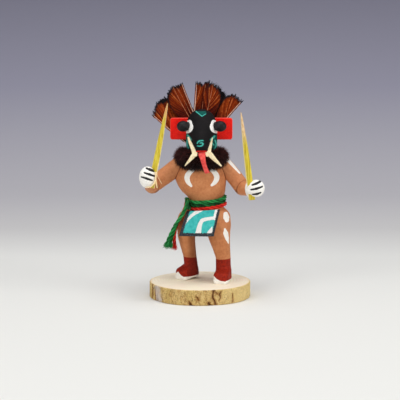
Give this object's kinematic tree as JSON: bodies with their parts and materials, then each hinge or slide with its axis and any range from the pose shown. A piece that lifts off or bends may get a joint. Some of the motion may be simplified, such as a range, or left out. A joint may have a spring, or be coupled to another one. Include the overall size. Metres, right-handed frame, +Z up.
{
  "type": "kachina doll",
  "caption": "Small carved and painted standing figure with a fur collar, feather crest, yarn sash and painted apron, holding two leaf blades, on a slice of log.",
  "frame": {"origin": "centre of the log slice's flat underside", "axes": "+Z up, the figure looks along -Y, +X to the right of a viewer who faces the figure"},
  "size_m": [0.0742, 0.0612, 0.1282],
  "materials": {
    "log": "sawn top, dry bark edge",
    "painted_wood": "matte tan-brown paint",
    "black_wood": "matte black paint",
    "red_wood": "satin red paint",
    "bare_wood": "bare pale wood",
    "red_leather": "matte coral-red leather strip",
    "leaf": "dry yellow-green leaf strip",
    "fur": "dark maroon fur",
    "green_yarn": "twisted wool yarn",
    "red_yarn": "twisted wool yarn",
    "painted_hide": "teal, white and black paint on thin hide",
    "feather": "rust feather with dark tip"
  },
  "bodies": {
    "root": {"log_base": "log", "body": "painted_wood", "right_upper_arm": "painted_wood", "right_forearm": "painted_wood", "right_yucca_blade": "leaf", "left_upper_arm": "painted_wood", "left_forearm": "painted_wood", "left_yucca_blade": "leaf", "head": "black_wood", "right_ear": "red_wood", "right_eye": "black_wood", "right_tusks": "bare_wood", "left_ear": "red_wood", "left_eye": "black_wood", "left_tusks": "bare_wood", "tongue": "red_leather", "fur_ruff": "fur", "green_belt": "green_yarn", "red_belt": "red_yarn", "belt_knot": "green_yarn", "green_tail_front": "green_yarn", "green_tail_back": "green_yarn", "red_tail": "red_yarn", "apron": "painted_hide", "feather_1": "feather", "feather_2": "feather", "feather_3": "feather", "feather_4": "feather", "feather_5": "feather", "feather_6": "feather", "feather_7": "feather", "feather_8": "feather", "feather_9": "feather", "feather_10": "feather", "feather_11": "feather"}
  },
  "joints": []
}
